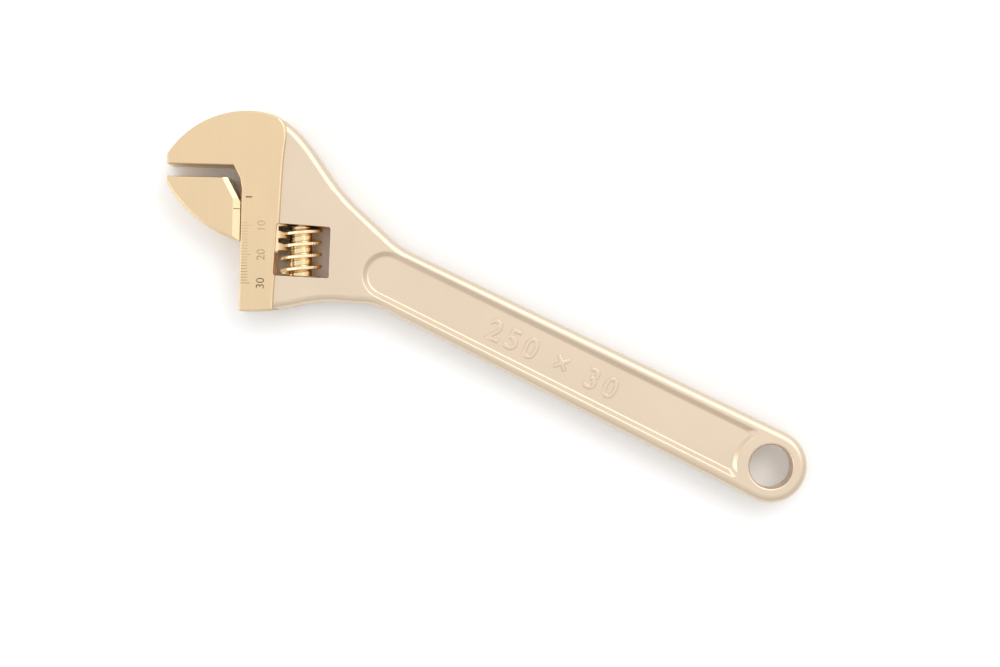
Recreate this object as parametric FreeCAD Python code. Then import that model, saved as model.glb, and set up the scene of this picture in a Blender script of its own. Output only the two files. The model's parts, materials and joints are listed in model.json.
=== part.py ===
"""Adjustable wrench, 250 mm long with a 30 mm jaw, as the five pieces it comes apart into.

Row frame, in millimetres: the origin is the centre of the hanging hole at mid thickness, +X runs along
the handle to the head, and +Z is up out of the flat face. The head is turned on the handle and has a frame
of its own. There, u runs out along the gripping faces and v is the way the movable jaw opens: v = 0 is the
fixed gripping face and u = 0 the front of the slide column. The jaws stand open by REST_OPENING, in mesh
with the worm.
"""

import FreeCAD, Part

import math
import os

from FreeCAD import Vector

# Handle
END_RADIUS = 12.8
HANDLE_HALF_WIDTH = 11.0
HANDLE_LENGTH = 146.0
HANDLE_HALF_THICKNESS = 5.25
EDGE_ROUNDING = 2.6
HOLE_RADIUS = 7.6
HOLE_ROUNDING = 0.8

# Panel sunk into both faces of the handle: the rim of the recess, and its floor further in
PANEL_DEPTH = 1.3
PANEL_SLOPE = 1.7
PANEL_HALF_WIDTH = 9.2
PANEL_END_X = 150.2
PANEL_END_RADIUS = 8.3
PANEL_START_RADIUS = 11.9
PANEL_RIM_CORNER = 1.5
PANEL_FLOOR_CORNER = 1.0
PANEL_FLOOR_ROUNDING = 0.9
PANEL_RIM_ROUNDING = 0.6

# Head
HEAD_ANGLE = 25.0
THROAT = (212.0, -12.0)
NECK_HALF_THICKNESS = 6.6
NECK_RAMP = (158.5, 178.0)
HEAD_HALF_THICKNESS = 7.5
GROUND_CHAMFER = 0.4
SHOULDER_ROUNDING = 0.8
JAW_REACH = 26.1
JAW_TIP_HEIGHT = 3.2
JAW_TIP_LEAN = 0.2
FIXED_JAW_ARC_CENTRE = (-2.0, 14.0)
THROAT_CORNER = (2.9, 0.0)
THROAT_FOOT = (0.6, 4.6)
COLUMN_TOP = 8.0
CROWN_ANGLE = -69.0
# Points that its curved outlines pass through: in the row frame, then in the head's own frame
NECK_UNDERSIDE = ((159.8, -13.85), (174.4, -18.5), (184.3, -23.3), (194.2, -28.8), (204.0, -32.35))
NECK_UPPER_SIDE = ((164.2, 17.1), (155.0, 13.3))
HEAD_FOOT = ((0.0, 50.7), (-7.9, 50.4), (-13.9, 49.6), (-25.2, 47.2))
SHOULDER = ((-9.0, -21.5), (-12.0, -18.0), (-14.4, -15.0), (-15.2, -11.6), (-14.85, -6.6), (-13.8, 13.0),
            (-12.4, 38.0), (-11.9, 53.0))
SHOULDER_START_TANGENT = (-1.0, -0.6)

# Slide
REST_OPENING = 4.2
ROD_RADIUS = 5.4
ROD_CLEARANCE = 0.1
ROD_U = -10.95
ROD_TOP = 5.5
ROD_BOTTOM = 30.0
ROD_CHAMFER = 0.5
BORE_TOP = 1.0
WEB_HALF_THICKNESS = 2.7
WEB_CLEARANCE = 0.15
WEB_V = (12.8, 26.3)
WEB_REACH = 1.0

# Movable jaw
JAW_GAP = 0.3
MOVABLE_REACH = 26.0
MOVABLE_TIP_HEIGHT = 2.8
MOVABLE_THROAT = 4.95
JAW_BACK = (12.7, 26.4)
MOVABLE_ARC_RADIUS = 44.2
BACK_BEVEL = (2.6, 0.9)
THROAT_BEVEL = (1.7, 0.6)
OUTER_CHAMFER = 0.8
FACE_CHAMFER = 0.3

# Window for the worm, at its corners
WINDOW_CORNERS = ((-12.5, 19.7), (-31.3, 20.7), (-31.0, 38.6), (-11.6, 38.0))
WINDOW_ROUNDING = 0.9

# Worm
WORM_U = -20.7
WORM_V = (20.65, 37.95)
WORM_RADIUS = 7.35
WORM_CORE_RADIUS = 4.0
WORM_CHAMFER = 0.5
PITCH = 4.2
THREAD_CREST = 1.2
THREAD_ROOT = 2.2
THREAD_PHASE_V = 25.2
THREAD_DEPTH_IN_CORE = 0.4

# Rack cut in the jaw's rod
RACK_ROOT_U = -13.0
RACK_GAP_AT_ROOT = 1.55
RACK_GAP_AT_TIP = 2.55
RACK_LEAN = 0.105
RACK_GAPS = range(-5, 3)

# Pin that the worm turns on, and the spring that keeps it to one side
PIN_RADIUS = 2.0
PIN_HOLE_CLEARANCE = 0.05
WORM_BORE_CLEARANCE = 0.06
PIN_V = (13.2, 47.6)
PIN_HOLE_TOP = 13.0
PIN_HEAD_RADIUS = 3.0
PIN_HEAD_V = 41.2
PIN_SLOT_WIDTH = 1.0
PIN_SLOT_DEPTH = 1.4
SPRING_WIRE_RADIUS = 0.3
SPRING_RADIUS = 2.75
SPRING_V = (33.25, 38.1)
SPRING_TURNS = 4
SPRING_POCKET_RADIUS = 3.3
SPRING_POCKET_V = 33.2

COS_HEAD = math.cos(math.radians(HEAD_ANGLE))
SIN_HEAD = math.sin(math.radians(HEAD_ANGLE))
U_AXIS = Vector(COS_HEAD, SIN_HEAD, 0)
V_AXIS = Vector(-SIN_HEAD, COS_HEAD, 0)
Z_AXIS = Vector(0, 0, 1)
ORIGIN = Vector(0, 0, 0)
COLUMN_BOTTOM = HEAD_FOOT[0][1]

# How far the cutting tools run past what they cut, and how closely an edge is matched to its place
BEYOND = 20.0
OVERRUN = 0.5
TOLERANCE = 1e-4


def head(u, v, z=0.0):
    """A point of the head's own frame, in the row frame."""
    return Vector(THROAT[0], THROAT[1], 0) + U_AXIS * u + V_AXIS * v + Z_AXIS * z


def in_row(shape):
    """A shape modelled in the head's own frame (x is u, y is v), placed in the row frame."""
    placed = shape.copy()
    placed.rotate(ORIGIN, Z_AXIS, HEAD_ANGLE)
    placed.translate(head(0, 0))
    return placed


def line(start, end):
    return Part.LineSegment(start, end).toShape()


def arc(start, middle, end):
    return Part.Arc(start, middle, end).toShape()


def spline(points, start_tangent, end_tangent):
    curve = Part.BSplineCurve()
    curve.interpolate(Points=points, InitialTangent=start_tangent, FinalTangent=end_tangent)
    return curve.toShape()


def polygon(points):
    return [line(point, points[(i + 1) % len(points)]) for i, point in enumerate(points)]


def prism(edges, half_height):
    """The closed outline that the edges make, as a solid from -half_height to half_height."""
    face = Part.Face(Part.Wire(Part.__sortEdges__(edges)))
    face.translate(Vector(0, 0, -half_height))
    return face.extrude(Vector(0, 0, 2 * half_height))


def polar(centre, radius, degrees):
    angle = math.radians(degrees)
    return centre + Vector(radius * math.cos(angle), radius * math.sin(angle), 0)


def bar_along_v(u, v_from, v_to, radius):
    """A round bar along the slide's direction, in the head's own frame."""
    return Part.makeCylinder(radius, v_to - v_from, Vector(u, v_from, 0), Vector(0, 1, 0))


def middle(edge):
    return edge.valueAt((edge.FirstParameter + edge.LastParameter) / 2)


def edges_at_height(shape, height):
    """The edges that lie wholly in the planes z = height and z = -height."""
    def lies_there(edge):
        box = edge.BoundBox
        return box.ZLength < TOLERANCE and abs(abs(box.ZMin) - height) < TOLERANCE
    return [edge for edge in shape.Edges if lies_there(edge)]


def follows(edge, plan_line, within=0.3):
    """Whether the middle of an edge lies over a line drawn in plan."""
    point = middle(edge)
    return plan_line.distToShape(Part.Vertex(point.x, point.y, 0))[0] < within


# ---------------------------------------------------------------- body


def body_outline():
    """Plan outline of the forging, clockwise from the handle's upper side."""
    taper = math.degrees(math.asin((END_RADIUS - HANDLE_HALF_WIDTH) / HANDLE_LENGTH))
    end_low = polar(ORIGIN, END_RADIUS, taper - 90)
    end_high = polar(ORIGIN, END_RADIUS, 90 - taper)
    neck_low = Vector(HANDLE_LENGTH, -HANDLE_HALF_WIDTH, 0)
    neck_high = Vector(HANDLE_LENGTH, HANDLE_HALF_WIDTH, 0)

    centre = head(*FIXED_JAW_ARC_CENTRE)
    tip = head(JAW_REACH, 0)
    tip_low = head(JAW_REACH + JAW_TIP_LEAN, -JAW_TIP_HEIGHT)
    radius = tip_low.distanceToPoint(centre)
    tip_angle = math.degrees(math.atan2(tip_low.y - centre.y, tip_low.x - centre.x))
    crown = polar(centre, radius, CROWN_ANGLE)
    crown_middle = polar(centre, radius, (CROWN_ANGLE + tip_angle) / 2)
    crown_tangent = polar(ORIGIN, 1, CROWN_ANGLE + 90)

    back_of_jaw = [neck_low] + [Vector(x, y, 0) for x, y in NECK_UNDERSIDE] + [crown]
    foot_of_head = [head(u, v) for u, v in HEAD_FOOT]
    foot_of_head += [Vector(x, y, 0) for x, y in NECK_UPPER_SIDE] + [neck_high]
    return [
        arc(end_high, Vector(-END_RADIUS, 0, 0), end_low),
        line(end_low, neck_low),
        spline(back_of_jaw, neck_low - end_low, crown_tangent),
        arc(crown, crown_middle, tip_low),
        line(tip_low, tip),
        line(tip, head(*THROAT_CORNER)),
        line(head(*THROAT_CORNER), head(*THROAT_FOOT)),
        line(head(*THROAT_FOOT), head(0, COLUMN_TOP)),
        line(head(0, COLUMN_TOP), head(0, COLUMN_BOTTOM)),
        spline(foot_of_head, U_AXIS * -1, end_high - neck_high),
        line(neck_high, end_high),
    ]


def side_profile():
    """The forging seen from the side: thin along the handle, swelling through the neck to the head."""
    near, far = -2 * END_RADIUS, 2 * THROAT[0]
    top = [Vector(near, 0, HANDLE_HALF_THICKNESS), Vector(NECK_RAMP[0], 0, HANDLE_HALF_THICKNESS),
           Vector(NECK_RAMP[1], 0, NECK_HALF_THICKNESS), Vector(far, 0, NECK_HALF_THICKNESS)]
    bottom = [Vector(point.x, 0, -point.z) for point in top]
    along = Vector(1, 0, 0)
    edges = []
    for side in (top, bottom):
        edges += [line(side[0], side[1]), spline(side[1:3], along, along), line(side[2], side[3])]
    edges += [line(top[0], bottom[0]), line(top[3], bottom[3])]
    face = Part.Face(Part.Wire(Part.__sortEdges__(edges)))
    face.translate(Vector(0, -far / 2, 0))
    return face.extrude(Vector(0, far, 0))


def forged_blank(outline):
    """Handle, neck and the rough of the head, with their long edges rounded."""
    blank = prism(outline, BEYOND).common(side_profile())

    def is_rim(edge):
        box = edge.BoundBox
        point = middle(edge)
        runs_across = box.XLength < TOLERANCE
        return abs(point.z) > HANDLE_HALF_THICKNESS - TOLERANCE and not runs_across

    def is_working_face(edge):
        point = middle(edge) - head(0, 0)
        u, v = point.dot(U_AXIS), point.dot(V_AXIS)
        return u > -TOLERANCE and v > -JAW_TIP_HEIGHT

    rims = [edge for edge in blank.Edges if is_rim(edge) and not is_working_face(edge)]
    return blank.makeFillet(EDGE_ROUNDING, rims)


def ground_head(outline):
    """The thicker block of the fixed jaw and the slide column, ground flat on both faces."""
    shoulder = [head(u, v) for u, v in SHOULDER]
    curve = spline(shoulder, Vector(*SHOULDER_START_TANGENT, 0), V_AXIS)
    past_foot = head(2 * BEYOND, SHOULDER[-1][1])
    past_crown = head(2 * BEYOND, SHOULDER[0][1])
    region = [curve, line(shoulder[-1], past_foot), line(past_foot, past_crown)]
    region.append(line(past_crown, shoulder[0]))
    block = prism(outline, HEAD_HALF_THICKNESS).common(prism(region, BEYOND))

    rims = [edge for edge in edges_at_height(block, HEAD_HALF_THICKNESS) if not follows(edge, curve)]
    block = block.makeChamfer(GROUND_CHAMFER, rims)
    shoulders = [edge for edge in edges_at_height(block, HEAD_HALF_THICKNESS) if follows(edge, curve)]
    return block.makeFillet(SHOULDER_ROUNDING, shoulders)


def panel_wire(inset, corner, height):
    """Outline of the handle's panel, moved in by inset: it goes round the hanging hole at one end."""
    start_radius = PANEL_START_RADIUS + inset
    end_radius = PANEL_END_RADIUS - inset
    half_width = PANEL_HALF_WIDTH - inset
    reach = math.hypot(half_width, PANEL_END_X)
    taper = math.acos(end_radius / reach) - math.atan2(PANEL_END_X, half_width)
    outward = Vector(math.sin(taper), math.cos(taper), 0)
    along = Vector(math.cos(taper), -math.sin(taper), 0)
    offset = half_width * math.cos(taper)

    out = offset - corner
    centre = outward * out + along * math.sqrt((start_radius + corner) ** 2 - out ** 2)
    towards_hole = centre * (-1 / centre.Length)
    bisector = (outward + towards_hole).normalize()
    end_centre = Vector(PANEL_END_X, 0, 0)
    upper = [centre * (start_radius / centre.Length), centre + bisector * corner, centre + outward * corner,
             end_centre + outward * end_radius]
    lower = [Vector(point.x, -point.y, 0) for point in upper]
    edges = [
        arc(upper[0], upper[1], upper[2]),
        line(upper[2], upper[3]),
        arc(upper[3], end_centre + Vector(end_radius, 0, 0), lower[3]),
        line(lower[3], lower[2]),
        arc(lower[2], lower[1], lower[0]),
        arc(lower[0], Vector(start_radius, 0, 0), upper[0]),
    ]
    wire = Part.Wire(edges)
    wire.translate(Vector(0, 0, height))
    return wire


def panel_recess():
    """What is sunk into the upper face: sloping sides down to a flat floor with a soft corner."""
    floor = HANDLE_HALF_THICKNESS - PANEL_DEPTH
    run = PANEL_SLOPE / PANEL_DEPTH
    rim = panel_wire(-OVERRUN * run, PANEL_RIM_CORNER, HANDLE_HALF_THICKNESS + OVERRUN)
    sunk = Part.makeLoft([rim, panel_wire(PANEL_SLOPE, PANEL_FLOOR_CORNER, floor)], True, True)
    return sunk.makeFillet(PANEL_FLOOR_ROUNDING, edges_at_height(sunk, floor))


def window():
    edges = polygon([Vector(u, v, 0) for u, v in WINDOW_CORNERS])
    opening = prism(edges, BEYOND)
    upright = [edge for edge in opening.Edges if edge.BoundBox.ZLength > BEYOND]
    return in_row(opening.makeFillet(WINDOW_ROUNDING, upright))


def slide_cut():
    """The bore that guides the jaw's rod, and the slit that lets its web through the column's front."""
    bore = bar_along_v(ROD_U, BORE_TOP, COLUMN_BOTTOM + BEYOND, ROD_RADIUS + ROD_CLEARANCE)
    half = WEB_HALF_THICKNESS + WEB_CLEARANCE
    slit = Part.makeBox(BEYOND - ROD_U, COLUMN_BOTTOM + BEYOND, 2 * half, Vector(ROD_U, COLUMN_TOP, -half))
    return in_row(bore.fuse(slit))


def pin_hole():
    shank = bar_along_v(WORM_U, PIN_HOLE_TOP, COLUMN_BOTTOM, PIN_RADIUS + PIN_HOLE_CLEARANCE)
    seat = bar_along_v(WORM_U, PIN_HEAD_V, COLUMN_BOTTOM + BEYOND, PIN_HEAD_RADIUS + PIN_HOLE_CLEARANCE)
    return in_row(shank.fuse(seat))


def make_body():
    """The forging: handle, neck, fixed jaw and slide column in one piece."""
    outline = body_outline()
    body = forged_blank(outline).fuse(ground_head(outline)).removeSplitter()

    recess = panel_recess()
    lower_recess = recess.mirror(ORIGIN, Z_AXIS)
    body = body.cut([recess, lower_recess])
    rim_line = panel_wire(0, PANEL_RIM_CORNER, 0)
    rims = [edge for edge in edges_at_height(body, HANDLE_HALF_THICKNESS) if follows(edge, rim_line)]
    body = body.makeFillet(PANEL_RIM_ROUNDING, rims)

    height = 2 * HANDLE_HALF_THICKNESS
    hole = Part.makeCylinder(HOLE_RADIUS, 2 * height, Vector(0, 0, -height))
    body = body.cut(hole)
    lip_line = Part.makeCircle(HOLE_RADIUS)
    lips = [edge for edge in edges_at_height(body, HANDLE_HALF_THICKNESS) if follows(edge, lip_line)]
    body = body.makeFillet(HOLE_ROUNDING, lips)
    return body.cut([window(), slide_cut(), pin_hole()])


# ---------------------------------------------------------------- movable jaw


def jaw_hook():
    """The jaw itself, in the head's own frame."""
    face = REST_OPENING
    back_bottom = Vector(JAW_GAP, JAW_BACK[1], 0)
    tip_low = Vector(MOVABLE_REACH, face + MOVABLE_TIP_HEIGHT, 0)
    chord = tip_low - back_bottom
    bulge = MOVABLE_ARC_RADIUS - math.sqrt(MOVABLE_ARC_RADIUS ** 2 - chord.Length ** 2 / 4)
    outward = Vector(-chord.y, chord.x, 0).normalize()
    crown = (back_bottom + tip_low) * 0.5 + outward * bulge
    tip = Vector(MOVABLE_REACH, face, 0)
    throat = Vector(MOVABLE_THROAT, face, 0)
    back_top = Vector(JAW_GAP, JAW_BACK[0], 0)

    outer = arc(back_bottom, crown, tip_low)
    edges = [outer, line(tip_low, tip), line(tip, throat), line(throat, back_top)]
    edges.append(line(back_top, back_bottom))
    hook = prism(edges, HEAD_HALF_THICKNESS)
    rims = edges_at_height(hook, HEAD_HALF_THICKNESS)
    rounds = [edge for edge in rims if edge.Curve.TypeId == "Part::GeomCircle"]
    hook = hook.makeChamfer(OUTER_CHAMFER, rounds)
    rims = edges_at_height(hook, HEAD_HALF_THICKNESS)
    grip = [edge for edge in rims if abs(middle(edge).y - face) < TOLERANCE]
    hook = hook.makeChamfer(FACE_CHAMFER, grip)
    bevels = ((back_top, back_bottom, BACK_BEVEL), (throat, back_top, THROAT_BEVEL))
    for start, end, (width, depth) in bevels:
        wedge = bevel_wedge(start, end, width, depth)
        hook = hook.cut([wedge, wedge.mirror(ORIGIN, Z_AXIS)])
    return hook


def bevel_wedge(start, end, width, depth):
    """What a sloping bevel takes off the upper face along the edge from start to end, on its right side."""
    along = (end - start).normalize()
    inward = Vector(along.y, -along.x, 0)
    lift = Vector(0, 0, BEYOND)
    steep = (inward * width + Vector(0, 0, depth)) * (BEYOND / width)
    crest = start + inward * width + Vector(0, 0, HEAD_HALF_THICKNESS) - along * BEYOND
    face = Part.Face(Part.Wire(polygon([crest, crest + lift, crest - steep + lift, crest - steep])))
    return face.extrude(along * ((end - start).Length + 2 * BEYOND))


def rack_gaps():
    """The spaces between the rack's teeth, each leaning with the worm's thread."""
    tip_u = ROD_U - ROD_RADIUS
    outer_u = tip_u - OVERRUN
    flank = (RACK_GAP_AT_TIP - RACK_GAP_AT_ROOT) / (RACK_ROOT_U - tip_u)
    outer_half = (RACK_GAP_AT_TIP + flank * (tip_u - outer_u)) / 2
    root_half = RACK_GAP_AT_ROOT / 2
    lean = Vector(0, -RACK_LEAN, 1) * (2 * ROD_RADIUS)
    first = THREAD_PHASE_V + PITCH / 4
    gaps = []
    for turn in RACK_GAPS:
        v = first + turn * PITCH
        points = [Vector(outer_u, v - outer_half, 0), Vector(RACK_ROOT_U, v - root_half, 0),
                  Vector(RACK_ROOT_U, v + root_half, 0), Vector(outer_u, v + outer_half, 0)]
        face = Part.Face(Part.Wire(polygon([point - lean * 0.5 for point in points])))
        gaps.append(face.extrude(lean))
    return gaps


def make_movable_jaw():
    rod = bar_along_v(ROD_U, ROD_TOP, ROD_BOTTOM, ROD_RADIUS)
    rod = rod.makeChamfer(ROD_CHAMFER, [edge for edge in rod.Edges if edge.Closed])
    rod = rod.cut(rack_gaps())
    web = Part.makeBox(WEB_REACH - ROD_U, WEB_V[1] - WEB_V[0], 2 * WEB_HALF_THICKNESS,
                       Vector(ROD_U, WEB_V[0], -WEB_HALF_THICKNESS))
    return in_row(jaw_hook().fuse([rod, web]).removeSplitter())


# ---------------------------------------------------------------- worm, pin and spring


def thread():
    """The worm's right-hand thread between its two ends; its crest passes straight up at THREAD_PHASE_V."""
    root_radius = WORM_CORE_RADIUS - THREAD_DEPTH_IN_CORE
    flank = (THREAD_ROOT - THREAD_CREST) / (WORM_RADIUS - WORM_CORE_RADIUS)
    root_half = (THREAD_ROOT + flank * (WORM_CORE_RADIUS - root_radius)) / 2
    top_half = THREAD_CREST / 2
    section = polygon([Vector(root_radius, 0, -root_half), Vector(WORM_RADIUS, 0, -top_half),
                       Vector(WORM_RADIUS, 0, top_half), Vector(root_radius, 0, root_half)])
    turns_before = math.ceil((THREAD_PHASE_V - WORM_V[0]) / PITCH) + 1
    turns_after = math.ceil((WORM_V[1] - THREAD_PHASE_V) / PITCH) + 1
    path = Part.Wire(Part.makeHelix(PITCH, (turns_before + turns_after) * PITCH, WORM_CORE_RADIUS))
    screw = path.makePipeShell([Part.Wire(section)], True, True)
    screw.rotate(ORIGIN, Z_AXIS, -90)
    screw.rotate(ORIGIN, Vector(1, 0, 0), -90)
    screw.translate(Vector(WORM_U, THREAD_PHASE_V - turns_before * PITCH, 0))
    corner = Vector(WORM_U - BEYOND, WORM_V[0], -BEYOND)
    return screw.common(Part.makeBox(2 * BEYOND, WORM_V[1] - WORM_V[0], 2 * BEYOND, corner))


def end_chamfer(v, way):
    """What a chamfer takes off the thread at one end of the worm, where way is the direction out of it."""
    start = Vector(WORM_U, v - way * (WORM_CHAMFER + OVERRUN), 0)
    out = Vector(0, way, 0)
    height = WORM_RADIUS + OVERRUN
    ring = Part.makeCylinder(2 * height, height, start, out)
    return ring.cut(Part.makeCone(height, 0, height, start, out))


def make_worm():
    """The knurl: a coarse thread that drives the rack, bored for its pin and pocketed for its spring."""
    core = bar_along_v(WORM_U, WORM_V[0], WORM_V[1], WORM_CORE_RADIUS)
    bore_radius = PIN_RADIUS + WORM_BORE_CLEARANCE
    bore = bar_along_v(WORM_U, WORM_V[0] - OVERRUN, WORM_V[1] + OVERRUN, bore_radius)
    pocket = bar_along_v(WORM_U, SPRING_POCKET_V, WORM_V[1] + OVERRUN, SPRING_POCKET_RADIUS)
    ends = [end_chamfer(WORM_V[0], -1), end_chamfer(WORM_V[1], 1)]
    return in_row(core.fuse(thread()).cut([bore, pocket] + ends))


def make_worm_pin():
    """The pin goes in at the foot of the head: a smooth shank under a slotted head."""
    shank = bar_along_v(WORM_U, PIN_V[0], PIN_HEAD_V, PIN_RADIUS)
    stud = bar_along_v(WORM_U, PIN_HEAD_V, PIN_V[1], PIN_HEAD_RADIUS)
    half_length = PIN_HEAD_RADIUS + OVERRUN
    corner = Vector(WORM_U - half_length, PIN_V[1] - PIN_SLOT_DEPTH, -PIN_SLOT_WIDTH / 2)
    slot = Part.makeBox(2 * half_length, PIN_SLOT_DEPTH + OVERRUN, PIN_SLOT_WIDTH, corner)
    return in_row(shank.fuse(stud).cut(slot))


def make_worm_spring():
    """The spring sits round the pin in the worm's pocket and takes up the thread's slack."""
    height = SPRING_V[1] - SPRING_V[0] - 2 * SPRING_WIRE_RADIUS
    path = Part.Wire(Part.makeHelix(height / SPRING_TURNS, height, SPRING_RADIUS))
    wire = Part.Wire(Part.makeCircle(SPRING_WIRE_RADIUS, Vector(SPRING_RADIUS, 0, 0), Vector(0, 1, 0)))
    coil = path.makePipeShell([wire], True, True)
    coil.rotate(ORIGIN, Vector(1, 0, 0), -90)
    coil.translate(Vector(WORM_U, SPRING_V[0] + SPRING_WIRE_RADIUS, 0))
    return in_row(coil)


PIECES = {
    "body": make_body,
    "movable_jaw": make_movable_jaw,
    "worm": make_worm,
    "worm_pin": make_worm_pin,
    "worm_spring": make_worm_spring,
}


def main():
    os.makedirs("parts", exist_ok=True)
    for name, make in PIECES.items():
        shape = make()
        shape.exportStep(f"parts/{name}.step")
        state = "valid" if shape.isValid() else "NOT VALID"
        print(name, state, len(shape.Solids), "solid", round(shape.Volume), "mm3")


main()
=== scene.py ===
"""Finishes and stage for an adjustable wrench: gold-coloured forging, ground head, polished worm, marks."""
import json
import math

import bmesh
import bpy
from bpy.props import FloatProperty, FloatVectorProperty, IntProperty, PointerProperty, StringProperty
from mathutils import Matrix, Vector


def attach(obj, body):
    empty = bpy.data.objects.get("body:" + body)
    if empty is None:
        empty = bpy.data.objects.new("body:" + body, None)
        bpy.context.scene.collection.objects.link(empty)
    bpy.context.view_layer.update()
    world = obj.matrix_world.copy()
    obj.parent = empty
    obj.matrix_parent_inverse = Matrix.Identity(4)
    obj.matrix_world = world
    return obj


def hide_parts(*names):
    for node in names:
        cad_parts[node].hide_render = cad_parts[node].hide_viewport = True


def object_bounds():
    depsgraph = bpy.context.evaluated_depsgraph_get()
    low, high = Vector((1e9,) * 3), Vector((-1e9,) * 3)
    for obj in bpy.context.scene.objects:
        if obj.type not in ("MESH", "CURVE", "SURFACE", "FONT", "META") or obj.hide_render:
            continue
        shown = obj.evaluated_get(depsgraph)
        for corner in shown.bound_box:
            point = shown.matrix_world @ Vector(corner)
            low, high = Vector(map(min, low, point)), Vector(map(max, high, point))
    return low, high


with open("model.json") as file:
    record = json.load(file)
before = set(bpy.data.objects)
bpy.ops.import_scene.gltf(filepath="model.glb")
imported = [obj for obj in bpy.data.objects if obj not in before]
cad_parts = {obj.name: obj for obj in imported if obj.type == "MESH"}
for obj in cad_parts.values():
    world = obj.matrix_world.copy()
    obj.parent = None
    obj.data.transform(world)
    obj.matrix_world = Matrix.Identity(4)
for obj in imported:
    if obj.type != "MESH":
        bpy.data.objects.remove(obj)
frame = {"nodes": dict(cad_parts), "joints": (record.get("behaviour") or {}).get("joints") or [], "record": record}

bl_info = {
    "name": "Adjustable Wrench",
    "version": (1, 0, 0),
    "blender": (4, 5, 0),
    "location": "View3D > Sidebar > Wrench",
    "description": "Finishes the pieces of an adjustable wrench and sets the stage around it",
    "category": "Object",
}

CAD_LOW, CAD_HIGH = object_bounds()
MM = 0.001

# ---------------------------------------------------------------- places, read from the frame

JOINTS = {joint["name"]: joint for joint in frame["joints"]}
MOUNTS = {mount["name"]: mount for mount in frame["record"]["mounts"]}

Z_AXIS = Vector((0, 0, 1))
SLIDE = Vector(JOINTS["jaw_slide"]["axis"]).normalized()
OUTWARD = SLIDE.cross(Z_AXIS)
WORM_AT = Vector(JOINTS["worm_spin"]["pos_m"])
FIXED_FACE_AT = Vector(MOUNTS["fixed_jaw_face"]["pos_m"])
JAW_FACE_AT = Vector(MOUNTS["movable_jaw_face"]["pos_m"])
HEAD_TURN = math.atan2(OUTWARD.y, OUTWARD.x)
HEAD_TOP = CAD_HIGH.z
REST_OPENING = (JAW_FACE_AT - FIXED_FACE_AT).dot(SLIDE)

# The worm's window in the head's own axes, with the tooth bar's bore beside it: the span that takes the painted
# shade
WINDOW_OUT = (-31.5 * MM, -1.0 * MM)
WINDOW_ALONG = (19.5 * MM, 39.0 * MM)
# How far below the head's flats the painted shade on the window's walls starts and is full
WINDOW_SHADE_DEPTHS = (1.6 * MM, 2.3 * MM)

# The movable jaw's bevel beside the column
BEVEL_WIDTH, BEVEL_FALL, JAW_GAP = 2.6 * MM, 0.9 * MM, 0.3 * MM

# Height of each finish's bump
FORGED_BUMP, GROUND_BUMP, WORM_BUMP, TURNED_BUMP = 0.005 * MM, 0.004 * MM, 0.02 * MM, 0.006 * MM
ETCHED_BUMP = 0.01 * MM

# Distances of the softboxes from the wrench, and their sizes, in metres
KEY_DISTANCE, KEY_SIZE = 1.7, (1.4, 1.0)
FILL_DISTANCE, FILL_SIZE = 1.3, (1.2, 0.5)

# The column's front stands this far out from the worm's axis
COLUMN_FROM_WORM = 20.7 * MM
HEAD_AT = FIXED_FACE_AT + OUTWARD * ((WORM_AT - FIXED_FACE_AT).dot(OUTWARD) + COLUMN_FROM_WORM)

# The head's own axes: x is out along the gripping faces, y the way the jaw opens, z up
HEAD_TO_ROW = Matrix.Translation(HEAD_AT) @ Matrix.Rotation(HEAD_TURN, 4, "Z")
# Axes for the head's numerals, which read towards the fixed jaw with their tops to the jaws' tips
NUMERAL_TURN = Matrix.Rotation(-math.pi / 2, 4, "Z")
# Axes for the handle's numerals, which read from the neck to the hanging hole
HANDLE_TURN = Matrix.Rotation(math.pi, 4, "Z")


# ---------------------------------------------------------------- settings


def length(name, description, default):
    return FloatProperty(name=name, description=description, default=default, unit="LENGTH", precision=5)


def colour(name, description, default):
    return FloatVectorProperty(name=name, description=description, default=default, subtype="COLOR",
                               min=0, max=1)


def angle(name, description, degrees):
    return FloatProperty(name=name, description=description, default=math.radians(degrees), subtype="ANGLE")


class WrenchFinish(bpy.types.PropertyGroup):
    """Colours of the metal and the size of its finest detail."""

    forged: colour("Forging", "Blasted metal of the handle and neck", (0.735, 0.602, 0.456))
    ground: colour("Ground faces", "Finely ground metal of the head and the jaws", (0.755, 0.577, 0.362))
    # Painted shade and bounced golden light on the walls inside the worm's window and the bore, not the metal's
    # own colour
    inner: colour("Window", "Metal inside the worm's window and the bore", (0.88, 0.50, 0.20))
    polished: colour("Worm", "Polished metal of the worm", (0.97, 0.82, 0.55))
    steel: colour("Spring", "Drawn wire of the spring", (0.60, 0.58, 0.55))
    etched: colour("Marks", "Darkened metal of the etched marks", (0.16, 0.105, 0.06))
    grain: length("Grain", "Size of the grain that blasting leaves", 0.16 * MM)
    line_spacing: length("Line spacing", "Distance between grinding lines", 0.09 * MM)
    # Within this radius of an edge the metal is both rubbed bright and given a painted highlight along every edge
    wear_radius: length("Worn edge and highlight", "How far from an edge the metal is rubbed bright", 0.35 * MM)
    knurl_teeth: IntProperty(name="Knurl teeth", description="Teeth round the worm's crest", default=64,
                             min=8)


class WrenchWorm(bpy.types.PropertyGroup):
    """The worm's thread, whose ends, pitch and crest radius come from the frame."""

    core_radius: length("Core radius", "Radius at the bottom of the thread's groove", 4.15 * MM)
    crest_width: length("Crest width", "Width of the thread's crest", 0.9 * MM)
    foot_width: length("Foot width", "Width of the thread where it meets the core", 2.7 * MM)
    chamfer: length("Chamfer", "Chamfer on the thread's two ends", 0.5 * MM)
    bore_radius: length("Bore radius", "Radius of the bore that runs on the pin", 2.06 * MM)
    pocket_radius: length("Pocket radius", "Radius of the spring's pocket", 3.3 * MM)
    pocket_depth: length("Pocket depth", "Depth of the spring's pocket", 4.75 * MM)
    steps_round: IntProperty(name="Steps round", description="Mesh steps in one turn", default=96, min=24)
    steps_across: IntProperty(name="Steps across", description="Mesh steps across one pitch", default=28,
                              min=12)


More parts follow.
